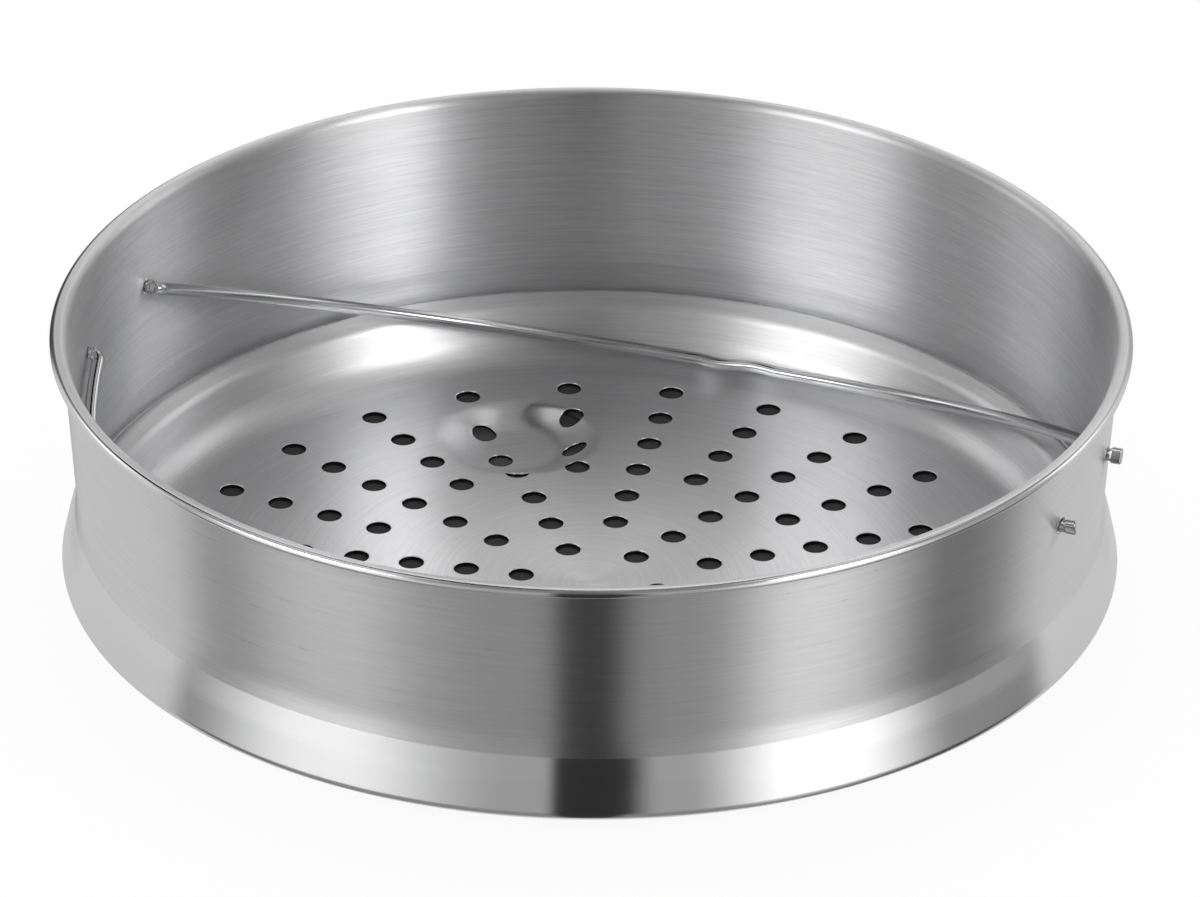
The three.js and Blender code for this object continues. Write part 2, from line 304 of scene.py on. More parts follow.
# %% [markdown]
# Between the boxes hangs grey cloth, with a paler backdrop behind the pot. Upright strips on it,
# light and dark, give the inner wall its stripes at the sides. Two dark flags part the boxes from
# the backdrop in the low band. The slot that the lens looks through is the dark stripe in front.

# %% Cloth, backdrop, strips and slot
CLOTH, CLOTH_RISE, CEILING_DROP = 0.3, 0.18, 0.2
BACKDROP_TURN = 7
BACKDROP_EDGE = (92, 100)
BACKDROP_LEVELS = (0.43, 0.33, 0.39)
BACKDROP_FADE = 0.8
LIGHT_STRIPS = (104, 112, 124, 132)
LIGHT_STRIP_LEVEL = 0.8
DARK_STRIPS = (132, 142, 158, 170)
DARK_STRIP_DEPTH = 0.3
LEFT_STRIP = (-172, -160, -142, -132)
LEFT_STRIP_DEPTH = 0.45
LEFT_FLAG = (-98, -88, -84, -66)
RIGHT_FLAG = (66, 80, 96, 104)
FLAG_DEPTH = 0.24
GROUND_BAND = (-0.97, -0.9)
GROUND_GLOW = 0.4
SLOT = ((-8.5, -8.5, -8.5), (-5.5, -5.5, -5.5), (5, 7, 5), (9, 14, 9))
SLOT_DEPTHS = (0.88, 0.93, 0.8)
SLOT_FADE = 0.6

backdrop = (turn - BACKDROP_TURN).math("ABSOLUTE").step(*BACKDROP_EDGE)
backdrop = backdrop * by_band(*BACKDROP_LEVELS) * (1 - ceiling * BACKDROP_FADE)
light_strips = panel(around, *LIGHT_STRIPS) * high * (1 - ceiling) * LIGHT_STRIP_LEVEL
dark_strips = panel(around, *DARK_STRIPS) * DARK_STRIP_DEPTH
dark_strips = (dark_strips + panel(turn, *LEFT_STRIP) * LEFT_STRIP_DEPTH) * rise
flags = (panel(turn, *LEFT_FLAG) + panel(turn, *RIGHT_FLAG)) * (1 - rise) * FLAG_DEPTH
above_ground = up.step(*GROUND_BAND)
cloth = CLOTH + rise * CLOTH_RISE - ceiling * CEILING_DROP + (1 - above_ground) * GROUND_GLOW
cloth = cloth + backdrop + light_strips - dark_strips - flags
slot = panel(turn, *[by_band(*edge) for edge in SLOT]) * above_ground * (1 - ceiling * SLOT_FADE)
level = (cloth + boxes) * (1 - slot * by_band(*SLOT_DEPTHS))
glow = Tap.node(tree, "ShaderNodeEmission", None, {"Color": level, "Strength": 1.0})
Tap.node(tree, "ShaderNodeOutputMaterial", None, {"Surface": glow})
tent_cloth.cycles.emission_sampling = "NONE"
print("tent cloth has", len(tree.nodes), "nodes")

# %% The tent's dome
TENT_RADIUS = 0.9
TENT_SIDES, TENT_ROWS = 48, 24

tent_points = []
for row in range(1, TENT_ROWS):
    lift = math.pi * row / TENT_ROWS - math.pi / 2
    ring = round_spots(TENT_RADIUS * math.cos(lift), TENT_SIDES)
    tent_points += [(a, b, TENT_RADIUS * math.sin(lift)) for a, b in ring]
last = len(tent_points) - 1
tent_faces = [tuple(range(TENT_SIDES)), tuple(last - k for k in range(TENT_SIDES))]
for row in range(TENT_ROWS - 2):
    for side in range(TENT_SIDES):
        a = row * TENT_SIDES + side
        b = row * TENT_SIDES + (side + 1) % TENT_SIDES
        tent_faces.append((a, b, b + TENT_SIDES, a + TENT_SIDES))
light_tent = stage_mesh("light_tent", tent_points, tent_faces, tent_cloth)
tent_middle = Matrix.Translation((0, 0, RIM_TOP * MM / 2))
light_tent.matrix_world = tent_middle @ Matrix.Rotation(VIEW_TURN, 4, "Z")
light_tent.visible_camera = False
light_tent.visible_diffuse = False
light_tent.visible_shadow = False
light_tent.visible_transmission = False
print("tent has", len(tent_faces), "faces")

# %% [markdown]
# Brushed steel is bright metal with thousands of fine parallel scratches. On a lathe-spun vessel
# they run round the axis, so a highlight is smeared across them. The scratches are a noise that
# changes fast with height and radius but slowly along the circle. They vary the roughness and
# the colour a little and feed a weak bump, and the shader's own anisotropy does the smearing.
# A picture of scratches would be quicker to place, but it would show its seam and its pixels.

# %% Brushed metal
FINE_GRAIN = (10, 0.2)
BROAD_GRAIN = (40, 0.6)
FINE_SHARE = 0.7
GRAIN_DETAIL = 2.0
GRAIN_ROUGHNESS = 0.6
QUARTER_TURN = 0.25
COOLNESS = 1.01


def round_grain(tree, around, across):
    """Noise in streaks that run round the axis, from 0 to 1. Sizes of a streak in mm."""
    x, y, z = Tap.node(tree, "ShaderNodeTexCoord", None, None, "Object").parts()
    radius = (x * x + y * y).math("SQRT")
    long, short = 1 / (around * MM), 1 / (across * MM)
    spot = {"X": x * long, "Y": y * long, "Z": radius * short}
    spot = Tap.node(tree, "ShaderNodeCombineXYZ", None, spot)
    noise = {"Vector": spot, "W": z * short, "Scale": 1.0}
    noise |= {"Detail": GRAIN_DETAIL, "Roughness": GRAIN_ROUGHNESS}
    return Tap.node(tree, "ShaderNodeTexNoise", {"noise_dimensions": "4D"}, noise, "Fac")


def brush_marks(tree):
    """Fine and broad streaks together, from about -0.5 to 0.5."""
    fine = round_grain(tree, *FINE_GRAIN)
    broad = round_grain(tree, *BROAD_GRAIN)
    return fine * FINE_SHARE + broad * (1 - FINE_SHARE) - 0.5


def steel_surface(tree, level, roughness, height, depth, anisotropic):
    """Neutral metal, a little cooler than grey. Level, roughness and height come from sockets."""
    tint = {"Red": level, "Green": level, "Blue": level * COOLNESS}
    colour = Tap.node(tree, "ShaderNodeCombineColor", None, tint)
    bump = {"Height": height, "Distance": depth * MM, "Strength": 1.0}
    bump = Tap.node(tree, "ShaderNodeBump", None, bump)
    inputs = {
        "Base Color": colour,
        "Metallic": 1.0,
        "Roughness": roughness,
        "Normal": bump,
        "Anisotropic": anisotropic,
        "Anisotropic Rotation": QUARTER_TURN,
    }
    shader = Tap.node(tree, "ShaderNodeBsdfPrincipled", None, inputs)
    Tap.node(tree, "ShaderNodeOutputMaterial", None, {"Surface": shader})


print("streaks in mm:", FINE_GRAIN, BROAD_GRAIN)

# %% [markdown]
# Two materials would need a seam, so one material finds its zones from height and from the side
# that a face looks to. The pan is satin all over, a little duller where it was drawn into its
# side. The punched walls of its holes are rough, and their colour is painted nearly black as
# painted shade. The wire is bright, with faint scuffs.

# %% Steel of ring, pan and wire
FACE_SWITCH = 5 * MM
SKIRT_POLISH = (23.4 * MM, 23.9 * MM)
LIP_POLISH = (59.4 * MM, 60.4 * MM)
POLISH_CLEARS = 0.85
INNER_LEVEL, OUTER_LEVEL = 0.72, 0.68
INNER_STREAKS, OUTER_STREAKS = 0.5, 0.24
INNER_ROUGH, OUTER_ROUGH = 0.36, 0.3
POLISH_SMOOTHS = 0.14
RING_GRAIN_ROUGH = 0.14
SCRATCH_DEPTH = 0.002
RING_SMEAR = 1.0

ring_steel, tree = new_material("ring_steel")
x, y, height = Tap.node(tree, "ShaderNodeTexCoord", None, None, "Object").parts()
face_x, face_y, _ = Tap.node(tree, "ShaderNodeNewGeometry", None, None, "Normal").parts()
outside = (x * face_x + y * face_y).step(-FACE_SWITCH, FACE_SWITCH)
polished = (1 - height.step(*SKIRT_POLISH) + height.step(*LIP_POLISH)) * outside
streaks = brush_marks(tree) * (1 - polished * POLISH_CLEARS)
level = outside.blend(INNER_LEVEL, OUTER_LEVEL)
level = level + streaks * outside.blend(INNER_STREAKS, OUTER_STREAKS)
rough = outside.blend(INNER_ROUGH, OUTER_ROUGH) - polished * POLISH_SMOOTHS
rough = rough + streaks * RING_GRAIN_ROUGH
steel_surface(tree, level, rough, streaks, SCRATCH_DEPTH, RING_SMEAR)

STEEP_FACE = (0.2, 0.5)
PUNCHED_REACH = (86 * MM, 87 * MM)
FORMED_REACH = (86 * MM, 91 * MM)
PAN_LEVEL, PAN_STREAKS = 0.75, 0.34
FORMED_DULLS, HOLE_PAINTED_SHADE = 0.12, 0.98
PAN_ROUGH, PAN_GRAIN_ROUGH = 0.34, 0.12
FORMED_ROUGH, HOLE_ROUGH = 0.03, 0.3
PAN_SMEAR = 0.75

pan_steel, tree = new_material("pan_steel")
x, y, _ = Tap.node(tree, "ShaderNodeTexCoord", None, None, "Object").parts()
_, _, face_z = Tap.node(tree, "ShaderNodeNewGeometry", None, None, "Normal").parts()
steep = 1 - face_z.math("ABSOLUTE").step(*STEEP_FACE)
reach = (x * x + y * y).math("SQRT")
hole_side = steep * (1 - reach.step(*PUNCHED_REACH))
formed = reach.step(*FORMED_REACH)
streaks = brush_marks(tree)
level = (PAN_LEVEL + streaks * PAN_STREAKS) * (1 - formed * FORMED_DULLS)
# Painted shade: the walls of the holes are painted nearly black.
level = level * (1 - hole_side * HOLE_PAINTED_SHADE)
rough = PAN_ROUGH + formed * FORMED_ROUGH + streaks * PAN_GRAIN_ROUGH + hole_side * HOLE_ROUGH
steel_surface(tree, level, rough, streaks, SCRATCH_DEPTH, PAN_SMEAR)

SCUFF_NOISE = {"Scale": 900.0, "Detail": 3.0}
SCUFF_SHARE = 0.1
SCUFF_DEPTH = 0.006
WIRE_LEVEL, WIRE_ROUGH, WIRE_SMEAR = 0.55, 0.12, 0.0

bail_wire, tree = new_material("bail_wire")
scuffs = Tap.node(tree, "ShaderNodeTexNoise", None, SCUFF_NOISE, "Fac") - 0.5
level = WIRE_LEVEL + scuffs * SCUFF_SHARE
rough = WIRE_ROUGH + scuffs * SCUFF_SHARE
steel_surface(tree, level, rough, scuffs, SCUFF_DEPTH, WIRE_SMEAR)
print("finishes:", ring_steel.name, pan_steel.name, bail_wire.name)

# %% [markdown]
# Ring and pan are both sheet metal, so each is drawn as the middle line of its sheet: corners in
# the radius and height plane, with a bend at each. The sheet is that line offset to both sides
# by half its thickness, with its cut edges rounded. Extra points close to each bend keep the
# smooth shading of the long straight runs true.

# %% Drawing bent sheet
BEND_STEP = math.radians(5)
HOLD = 0.2
CUT_EDGE_TURNS = (30, 60, 90, 120, 150)


def bent_line(corners):
    """Points along (radius, height, bend) corners, with an arc at each corner that has a bend."""
    at = [np.array(corner[:2], float) for corner in corners]
    line = []
    for i, (_, _, bend) in enumerate(corners):
        if not bend:
            line.append(at[i])
            continue
        back = (at[i - 1] - at[i]) / np.linalg.norm(at[i - 1] - at[i])
        ahead = (at[i + 1] - at[i]) / np.linalg.norm(at[i + 1] - at[i])
        half = math.acos(np.dot(back, ahead)) / 2
        middle = (back + ahead) / np.linalg.norm(back + ahead)
        centre = at[i] + middle * bend / math.sin(half)
        start = at[i] + back * bend / math.tan(half) - centre
        turn = -math.copysign(math.pi - 2 * half, back[0] * ahead[1] - back[1] * ahead[0])
        steps = max(2, math.ceil(abs(turn) / BEND_STEP))
        for a in np.linspace(0, turn, steps + 1):
            c, s = math.cos(a), math.sin(a)
            line.append(centre + (start[0] * c - start[1] * s, start[0] * s + start[1] * c))
    held = [line[0]]
    for p, q in zip(line, line[1:]):
        length = np.linalg.norm(q - p)
        if length > 4 * HOLD:
            held += [p + (q - p) * HOLD / length, q - (q - p) * HOLD / length]
        held.append(q)
    return np.array(held)


def sheet_faces(line, thickness):
    """Left and right face of a sheet, and the points round its last edge, from left to right."""
    run = np.diff(line, axis=0)
    run /= np.linalg.norm(run, axis=1)[:, None]
    along = np.concatenate([run[:1], run[:-1] + run[1:], run[-1:]])
    along /= np.linalg.norm(along, axis=1)[:, None]
    left = np.stack([-along[:, 1], along[:, 0]], axis=1)
    half = thickness / 2
    sweep = np.radians(CUT_EDGE_TURNS)[:, None]
    last = line[-1] + half * (left[-1] * np.cos(sweep) + along[-1] * np.sin(sweep))
    return line + half * left, line - half * left, last


print("bends are drawn in steps of", round(math.degrees(BEND_STEP)), "degrees")

# %% [markdown]
# Every finished mesh goes the same way: from millimetres to metres, faces turned outward, smooth
# shading with sharp edges where two faces meet at a clear angle. Then it takes the place of its
# CAD node, rides on that node's body, and gets the material it is given.

# %% From points to a finished piece
SHARP = math.radians(32)


def piece(name, points, faces, material, node, body):
    """A finished piece in metres, in place of a CAD node and riding on its body."""
    mesh = bpy.data.meshes.new(name)
    mesh.from_pydata((np.asarray(points) * MM).tolist(), [], faces)
    shape = bmesh.new()
    shape.from_mesh(mesh)
    bmesh.ops.recalc_face_normals(shape, faces=shape.faces)
    shape.to_mesh(mesh)
    shape.free()
    mesh.materials.append(material)
    mesh.shade_smooth()
    mesh.set_sharp_from_angle(angle=SHARP)
    made = bpy.data.objects.new(name, mesh)
    scene.collection.objects.link(made)
    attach(made, body)
    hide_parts(node)
    return made


print("edges are sharp above", round(math.degrees(SHARP)), "degrees")

# %% [markdown]
# The ring is one spun sheet. From the top down it has a flared lip with a thickened edge, a wall
# that tapers slightly, a neck crease, and a skirt that flares and then turns in under itself.
# A lathe of its closed outline makes all of that. The four pivot holes are cut afterwards, by a
# Boolean with two long bars, because a lathe can't make a hole in its own side.

# %% The ring's outline
SHEET = 0.8
RIM_RADIUS = 106
WALL_TOP = (102.95, 57.4)
WALL_FOOT, WALL_BEND = (101, 27.2), 18
NECK, NECK_BEND = (101.4, 23.7), 0.6
SHOULDER, SHOULDER_BEND = (102.72, 19.4), 30
SKIRT, SKIRT_BEND = 104.5, 1.2
SKIRT_EDGE = 11.3
TOE_END = 102.3
LIP_UNDER, LIP_UNDER_BEND = 60.4, 0.45
LIP_BACK, LIP_BACK_BEND = 104.3, 0.4
LIP_DROP, LIP_ROOT = 0.2, 1
LIP_FLARE = 0.15
LIP_INNER_BEND, LIP_OUTER_BEND, LIP_ROOT_BEND = 1.6, 1, 0.6

wall = bent_line([
    (*WALL_TOP, 0),
    (*WALL_FOOT, WALL_BEND),
    (*NECK, NECK_BEND),
    (*SHOULDER, SHOULDER_BEND),
    (SKIRT, SKIRT_EDGE + SHEET / 2, SKIRT_BEND),
    (TOE_END + SHEET / 2, SKIRT_EDGE + SHEET / 2, 0),
])
outer, inner, toe = sheet_faces(wall, SHEET)
lip = bent_line([
    (*inner[0], 0),
    (inner[0][0] + LIP_FLARE, RIM_TOP, LIP_INNER_BEND),
    (RIM_RADIUS, RIM_TOP, LIP_OUTER_BEND),
    (RIM_RADIUS, LIP_UNDER, LIP_UNDER_BEND),
    (LIP_BACK, LIP_UNDER - LIP_DROP, LIP_BACK_BEND),
    (outer[0][0] + LIP_FLARE, LIP_UNDER - LIP_ROOT, LIP_ROOT_BEND),
    (*outer[0], 0),
])
ring_outline = np.concatenate([outer[1:], toe, inner[:0:-1], lip])
print("ring outline:", len(ring_outline), "points, radius", ring_outline[:, 0].max().round(2))

# %% Turn the ring on a lathe
RING_SIDES = 240


def lathe(outline, sides):
    """A closed outline of radius and height turned about the upright axis."""
    points, faces = [], []
    count = len(outline)
    for side in range(sides):
        a = 2 * math.pi * side / sides
        points += [(r * math.cos(a), r * math.sin(a), z) for r, z in outline]
    for side in range(sides):
        here, there = side * count, (side + 1) % sides * count
        for k in range(count):
            n = (k + 1) % count
            faces.append((here + k, there + k, there + n, here + n))
    return points, faces


ring_points, ring_faces = lathe(ring_outline, RING_SIDES)
body_ring = piece("spun_ring", ring_points, ring_faces, ring_steel, "body_ring", "vessel")
print("ring before its holes:", len(ring_faces), "faces")

# %% Cut the pivot holes
PIVOT_LEVEL = 44.6
PIVOT_OFFSET = 15.2
WIRE = 2.5
PIVOT_CLEARANCE = 0.4
DRILL_SIDES = 32
DRILL_LENGTH = 2.2 * RIM_RADIUS

bore = (WIRE / 2 + PIVOT_CLEARANCE) * MM
drill = bmesh.new()
for side in (-1, 1):
    lay = Matrix.Translation((0, side * PIVOT_OFFSET * MM, PIVOT_LEVEL * MM))
    lay = lay @ Matrix.Rotation(math.pi / 2, 4, "Y")
    bar = {"radius1": bore, "radius2": bore, "depth": DRILL_LENGTH * MM, "segments": DRILL_SIDES}
    bmesh.ops.create_cone(drill, cap_ends=True, matrix=lay, **bar)
drill_mesh = bpy.data.meshes.new("pivot_drill")
drill.to_mesh(drill_mesh)
drill.free()
drill_bars = bpy.data.objects.new("pivot_drill", drill_mesh)
scene.collection.objects.link(drill_bars)
cut = body_ring.modifiers.new("pivot_holes", "BOOLEAN")
cut.operation = "DIFFERENCE"
cut.object = drill_bars
bpy.context.view_layer.update()
evaluated = body_ring.evaluated_get(bpy.context.evaluated_depsgraph_get())
drilled = bpy.data.meshes.new_from_object(evaluated)
body_ring.modifiers.clear()
body_ring.data = drilled
drilled.name = "spun_ring"
bpy.data.objects.remove(drill_bars)
drilled.shade_smooth()
drilled.set_sharp_from_angle(angle=SHARP)
print("ring:", len(drilled.polygons), "faces")

# %% [markdown]
# The pan is pressed from one sheet: a flange, a sloping side, a generous fillet and a flat
# floor. Three shallow dimples are pressed down out of the floor as feet, and the steam holes are
# punched on straight spokes. A Boolean of so many holes would leave ragged faces, so the floor
# is laid out in wedge-shaped cells, one round each hole, and every cell is filled with rings of
# quads that go from its border to the hole's edge.

# %% The pan's side and feet
PAN_SHEET = 0.8
FLOOR_TOP = 4.1
FLOOR_MIDDLE = FLOOR_TOP - PAN_SHEET / 2
FLOOR_CORNER, FLOOR_BEND = 93.56, 10
FLANGE_CORNER, FLANGE_BEND = (98.36, 14.3), 3.3
FLANGE_CREST, CREST_BEND = (101.3, 16.4), 0.6
FLANGE_EDGE = (102.6, 15.3)
FLAT_POINTS = 3
FOOT_COUNT = 3
FOOT_CIRCLE = 62
FOOT_RADIUS = 15.5
FOOT_FLAT = 7.4
FOOT_DEPTH = 3.3
FOOT_DISH = 0.75
FOOT_TURN = math.radians(3.4)

pan_line = bent_line([
    (0, FLOOR_MIDDLE, 0),
    (FLOOR_CORNER, FLOOR_MIDDLE, FLOOR_BEND),
    (*FLANGE_CORNER, FLANGE_BEND),
    (*FLANGE_CREST, CREST_BEND),
    (*FLANGE_EDGE, 0),
])
pan_line = pan_line[FLAT_POINTS:]
pan_top, pan_under, pan_brim = sheet_faces(pan_line, PAN_SHEET)
floor_edge = pan_line[0][0]
foot_turns = [FOOT_TURN + 2 * math.pi * k / FOOT_COUNT for k in range(FOOT_COUNT)]
foot_centres = [(FOOT_CIRCLE * math.cos(a), FOOT_CIRCLE * math.sin(a)) for a in foot_turns]


def floor_height(x, y):
    """Height of the floor's upper face, with the feet pressed down in it."""
    drop = 0
    for foot_x, foot_y in foot_centres:
        gap = np.hypot(x - foot_x, y - foot_y)
        share = np.clip((FOOT_RADIUS - gap) / (FOOT_RADIUS - FOOT_FLAT), 0, 1)
        soft = share * share * (3 - 2 * share)
        dished = share * (2 - share)
        drop = drop + FOOT_DEPTH * (soft + (dished - soft) * FOOT_DISH)
    return FLOOR_TOP - drop


print("floor is flat out to radius", round(float(floor_edge), 2))

# %% Points and faces of the perforated floor
HOLE_RADIUS = 2.5
SPOKES = 24
SPOKE_HOLES = (7, 4, 6, 4)
SPOKE_TURN = math.radians(7.8)
FIRST_HOLE = 13.9
HOLE_PITCH = 11.25
COLUMNS_PER_SPOKE = 10
ROWS_PER_CELL = 7
CELL_RINGS = (0.1, 0.35, 0.65)
DEBURR = 0.12

columns = SPOKES * COLUMNS_PER_SPOKE
pan_points, pan_faces = [], []
border = {}


def add_pair(x, y):
    """A point on the floor's upper face and one on its lower face: their numbers."""
    top = floor_height(x, y)
    pan_points.extend([(x, y, top), (x, y, top - PAN_SHEET)])
    return len(pan_points) - 2, len(pan_points) - 1


def at_border(radius, column):
    """The pair of points where a cell's border passes, shared by the cells beside it."""
    key = (round(radius, 3), column % columns)
    if key not in border:
        a = SPOKE_TURN + 2 * math.pi * column / columns
        border[key] = add_pair(radius * math.cos(a), radius * math.sin(a))
    return border[key]


def bridge(loop, other):
    """Quads between two closed loops of the same length."""
    count = len(loop)
    for k in range(count):
        n = (k + 1) % count
        pan_faces.append((loop[k], loop[n], other[n], other[k]))


print("the floor is divided into", columns, "columns")


# %% Punch the holes, cell by cell
def punched_cell(inner, outer, first, last, hole_x, hole_y):
    """Fills one cell of the floor, between two radii and two columns, round its hole."""
    radii = np.linspace(inner, outer, ROWS_PER_CELL + 1)
    loop = [at_border(inner, c) for c in range(first, last)]
    loop += [at_border(r, last) for r in radii[:-1]]
    loop += [at_border(outer, c) for c in range(last, first, -1)]
    loop += [at_border(r, first) for r in radii[:0:-1]]
    rim = np.array([pan_points[top][:2] for top, _ in loop]) - (hole_x, hole_y)
    unit = rim / np.linalg.norm(rim, axis=1)[:, None]
    before = loop
    for share in (*CELL_RINGS[::-1], 0):
        spots = unit * (HOLE_RADIUS + DEBURR) * (1 - share) + rim * share + (hole_x, hole_y)
        ring = [add_pair(x, y) for x, y in spots]
        for face in (0, 1):
            bridge([pair[face] for pair in before], [pair[face] for pair in ring])
        before = ring
    lip_top = [pair[0] for pair in before]
    lip_under = [pair[1] for pair in before]
    wall_loops = [lip_top]
    for start, shift in ((lip_top, -DEBURR), (lip_under, DEBURR)):
        heights = [pan_points[k][2] + shift for k in start]
        spots = unit * HOLE_RADIUS + (hole_x, hole_y)
        wall_loops.append(list(range(len(pan_points), len(pan_points) + len(spots))))
        pan_points.extend((x, y, z) for (x, y), z in zip(spots, heights))
    wall_loops.append(lip_under)
    for loop_a, loop_b in zip(wall_loops, wall_loops[1:]):
        bridge(loop_a, loop_b)


longest = max(SPOKE_HOLES)
hole_count = 0
for row in range(longest):
    radius = FIRST_HOLE + row * HOLE_PITCH
    inner = radius - HOLE_PITCH / 2
    outer = floor_edge if row == longest - 1 else radius + HOLE_PITCH / 2
    spokes = [s for s in range(SPOKES) if SPOKE_HOLES[s % len(SPOKE_HOLES)] >= longest - row]
    reach = columns // len(spokes) // 2
    for s in spokes:
        a = SPOKE_TURN + 2 * math.pi * s / SPOKES
        hole_x, hole_y = radius * math.cos(a), radius * math.sin(a)
        middle = s * COLUMNS_PER_SPOKE
        punched_cell(inner, outer, middle - reach, middle + reach, hole_x, hole_y)
        hole_count += 1
print("punched", hole_count, "holes")

# %% Middle and side of the pan
CENTRE_RINGS = (0.66, 0.33)

inner = FIRST_HOLE - HOLE_PITCH / 2
loops = [[at_border(inner * share, c) for c in range(columns)] for share in (1, *CENTRE_RINGS)]
centre_pair = add_pair(0, 0)
for face in (0, 1):
    for loop_a, loop_b in zip(loops, loops[1:]):
        bridge([pair[face] for pair in loop_a], [pair[face] for pair in loop_b])
    last = [pair[face] for pair in loops[-1]]
    for k in range(columns):
        pan_faces.append((last[k], last[(k + 1) % columns], centre_pair[face]))

rim_pairs = [at_border(floor_edge, c) for c in range(columns)]
side_outline = np.concatenate([pan_top[1:], pan_brim, pan_under[:0:-1]])
before = [pair[0] for pair in rim_pairs]
for r, z in side_outline:
    loop = list(range(len(pan_points), len(pan_points) + columns))
    for c in range(columns):
        a = SPOKE_TURN + 2 * math.pi * c / columns
        pan_points.append((r * math.cos(a), r * math.sin(a), z))
    bridge(before, loop)
    before = loop
bridge(before, [pair[1] for pair in rim_pairs])
pan = piece("punched_pan", pan_points, pan_faces, pan_steel, "perforated_pan", "vessel")
print("pan:", len(pan.data.polygons), "faces")

# %% [markdown]
# Through the steam holes the bright floor would show, but on such a pan they look dark. So a
# black card is laid under it as painted shade: a thin disc that hides just under the flat of the
# pan, with a cut-out round each foot, dark where there is only shade. It belongs to the studio
# and not to the pot. A polygon with holes in it is filled by one call of tessellate_polygon.

# %% Painted shade: a black card under the pan
# Painted shade: the card's near-black colour stands for the shade under the pan.
CARD_PAINTED_SHADE = 0.045
CARD_RADIUS = 86.5
CARD_TOP = 3.1
CARD_UNDER = 2.1
CARD_ROOM = 0.5
CARD_SIDES = 96

shade_card_paint, tree = new_material("painted_shade_card")
black = (CARD_PAINTED_SHADE, CARD_PAINTED_SHADE, CARD_PAINTED_SHADE, 1)
shade_card_surface = Tap.node(tree, "ShaderNodeBsdfDiffuse", None, {"Color": black})
Tap.node(tree, "ShaderNodeOutputMaterial", None, {"Surface": shade_card_surface})
outlines = [round_spots(CARD_RADIUS, CARD_SIDES)]
for foot_x, foot_y in foot_centres:
    outlines.append(round_spots(FOOT_RADIUS + CARD_ROOM, CARD_SIDES, foot_x, foot_y))
outlines = [[Vector((a, b, CARD_TOP)) * MM for a, b in outline] for outline in outlines]
card_points = [spot for outline in outlines for spot in outline]
card_faces = [tuple(corners) for corners in tessellate_polygon(outlines)]
count = len(card_points)
card_points += [Vector((spot.x, spot.y, CARD_UNDER * MM)) for spot in card_points]
for k in range(count):
    n = k + 1 if (k + 1) % CARD_SIDES else k + 1 - CARD_SIDES
    card_faces.append((k, n, n + count, k + count))
stage_mesh("painted_shade_card", card_points, card_faces, shade_card_paint)
print("card:", len(card_faces), "faces")

# %% [markdown]
# Each bail is one bright wire. It follows the wall's curve, turns out through a pivot hole at
# each end, and is pinched flat on both sides of the wall so that it can't slip out. At the crown
# it has a small kink. The wire is a tube whose section is set at each station along its path:
# round, or pressed into an ear. A curve with a bevel could make the round part, but not the ears.

# %% Path of one bail, in its own plane
WALL_OUTSIDE = 102.68
WALL_INSIDE = 101.88
BAIL_WALL_GAP = 1.2
BAIL_BEND = 2
STUB = 2.9
END_STATIONS, BEND_STATIONS, ARC_STATIONS = 56, 18, 120

pivot_outside = math.sqrt(WALL_OUTSIDE ** 2 - PIVOT_OFFSET ** 2)
pivot_inside = math.sqrt(WALL_INSIDE ** 2 - PIVOT_OFFSET ** 2)
arc_radius = WALL_INSIDE - BAIL_WALL_GAP - WIRE / 2
bend_centre = math.sqrt((arc_radius + BAIL_BEND) ** 2 - (PIVOT_OFFSET + BAIL_BEND) ** 2)
arc_start = math.atan2(PIVOT_OFFSET + BAIL_BEND, bend_centre)
tip = pivot_outside + STUB

half_path = [(x, 0.0) for x in np.linspace(tip, bend_centre, END_STATIONS, endpoint=False)]
bend_turn = math.pi / 2 + arc_start
for a in -math.pi / 2 - np.linspace(0, bend_turn, BEND_STATIONS, endpoint=False):
    half_path.append((bend_centre + BAIL_BEND * math.cos(a), BAIL_BEND * (1 + math.sin(a))))
for a in np.linspace(arc_start, math.pi / 2, ARC_STATIONS):
    half_path.append((arc_radius * math.cos(a), arc_radius * math.sin(a) - PIVOT_OFFSET))
half_path = np.array(half_path)
path = np.concatenate([half_path, half_path[-2::-1] * (-1, 1)])
print("bail wire:", len(path), "stations, crown reaches", path[:, 1].max().round(2), "mm")

# %% The wire's section along its path
EAR_GAP = 0.5
EAR_EASE = 0.5
INNER_EAR = 1.5
EAR_SPAN = 3.2
EAR_THICKNESS = 1.8
EAR_SQUARE = 0.45
JOG = 0.3
JOG_LENGTH = 16
WIRE_SIDES = 20
TIP_ROUND = 0.3
TIP_NARROW = 0.55

ears = [
    (pivot_outside + EAR_GAP, tip + EAR_EASE),
    (pivot_inside - EAR_GAP - INNER_EAR, pivot_inside - EAR_GAP),
]


def ear_share(x):
    """How far the wire is pinched at a place along the pivot line: 0 is round, 1 a full ear."""
    share = 0
    for start, end in ears:
        t = np.clip(np.minimum(np.abs(x) - start, end - np.abs(x)) / EAR_EASE, 0, 1)
        share = np.maximum(share, t * t * (3 - 2 * t))
    return share


def rounded(wave, blunt):
    """A sine or cosine, squared off as blunt goes below 1."""
    return math.copysign(abs(wave) ** blunt, wave)


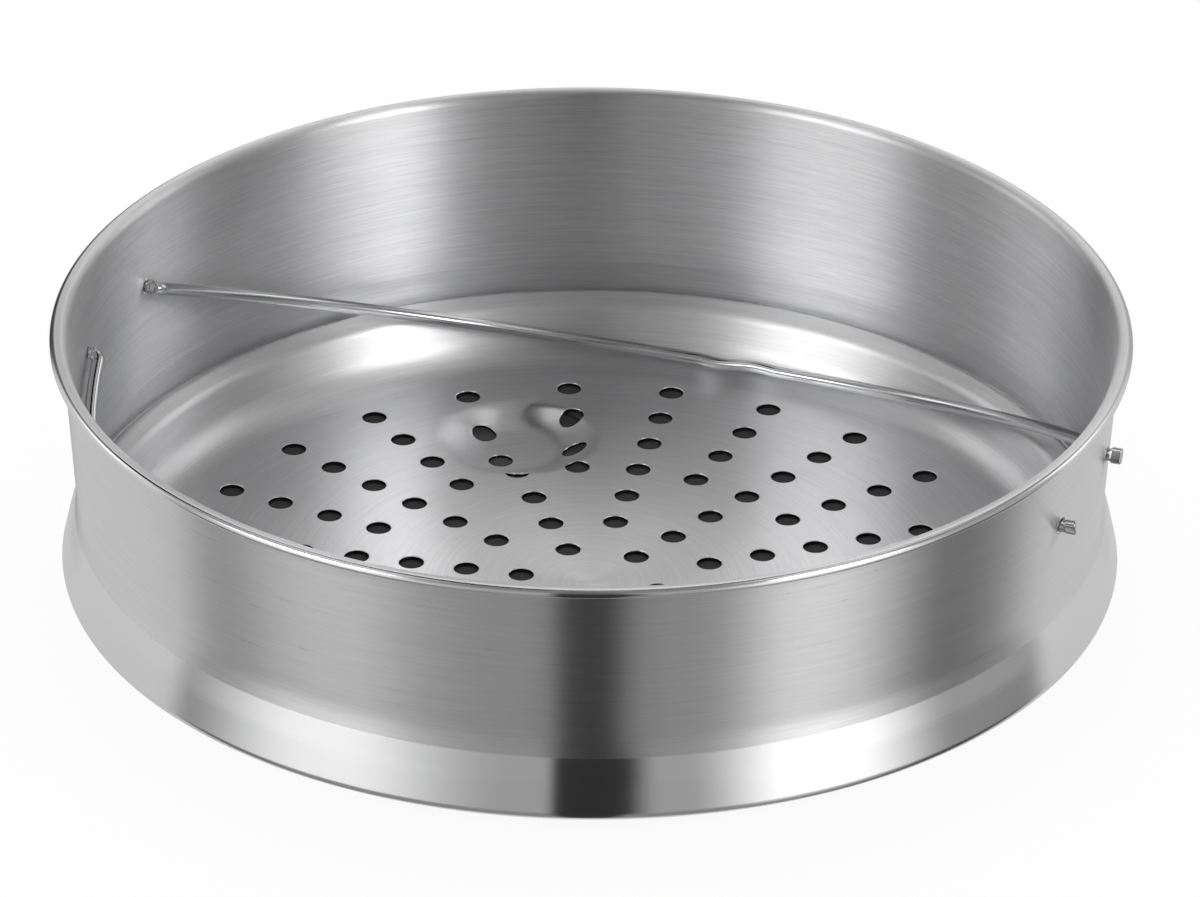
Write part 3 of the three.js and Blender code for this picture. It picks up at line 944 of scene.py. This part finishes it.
def bail_points():
    """Rings of points round the wire, and the faces between them."""
    along = np.gradient(path, axis=0)
    along /= np.linalg.norm(along, axis=1)[:, None]
    side = np.stack([-along[:, 1], along[:, 0]], axis=1)
    pinch = ear_share(path[:, 0])
    end = np.clip((tip - np.abs(path[:, 0])) / TIP_ROUND, 0, 1)
    swell = TIP_NARROW + (1 - TIP_NARROW) * np.sqrt(1 - (1 - end) ** 2)
    flat = (WIRE + (EAR_THICKNESS - WIRE) * pinch) / 2 * swell
    tall = (WIRE + (EAR_SPAN - WIRE) * pinch) / 2 * swell
    at_crown = (np.abs(path[:, 0]) < JOG_LENGTH / 2) & (path[:, 1] > WIRE)
    kink = np.where(at_crown, JOG * np.sin(2 * np.pi * path[:, 0] / JOG_LENGTH), 0)
    points, faces = [], []
    for k, (x, y) in enumerate(path):
        blunt = 1 - EAR_SQUARE * pinch[k]
        for s in range(WIRE_SIDES):
            a = 2 * math.pi * (s + 0.5) / WIRE_SIDES
            reach = flat[k] * rounded(math.cos(a), blunt)
            lift = kink[k] + tall[k] * rounded(math.sin(a), blunt)
            points.append((x + side[k][0] * reach, y + side[k][1] * reach, lift))
    for k in range(len(path) - 1):
        here, there = k * WIRE_SIDES, (k + 1) * WIRE_SIDES
        for s in range(WIRE_SIDES):
            n = (s + 1) % WIRE_SIDES
            faces.append((here + s, here + n, there + n, there + s))
    last = (len(path) - 1) * WIRE_SIDES
    faces.append(tuple(range(WIRE_SIDES)))
    faces.append(tuple(last + s for s in range(WIRE_SIDES)))
    return np.array(points), faces


wire_points, wire_faces = bail_points()
print("wire:", len(wire_faces), "faces")

# %% Hang both bails
REST_ANGLE = math.radians(26.15)

for name, half_turn in (("rear_bail", 0), ("front_bail", math.pi)):
    hang = (
        Matrix.Rotation(half_turn, 4, "Z")
        @ Matrix.Translation((0, PIVOT_OFFSET, PIVOT_LEVEL))
        @ Matrix.Rotation(-REST_ANGLE, 4, "X")
    )
    spin = np.array(hang)
    hung = wire_points @ spin[:3, :3].T + spin[:3, 3]
    wire_name = name.replace("bail", "wire_bail")
    bail = piece(wire_name, hung, wire_faces, bail_wire, name, name)
    print(bail.name, "lowest point", hung[:, 2].min().round(2), "mm")

# %% [markdown]
# The finer meshes must not change the size of the pot.
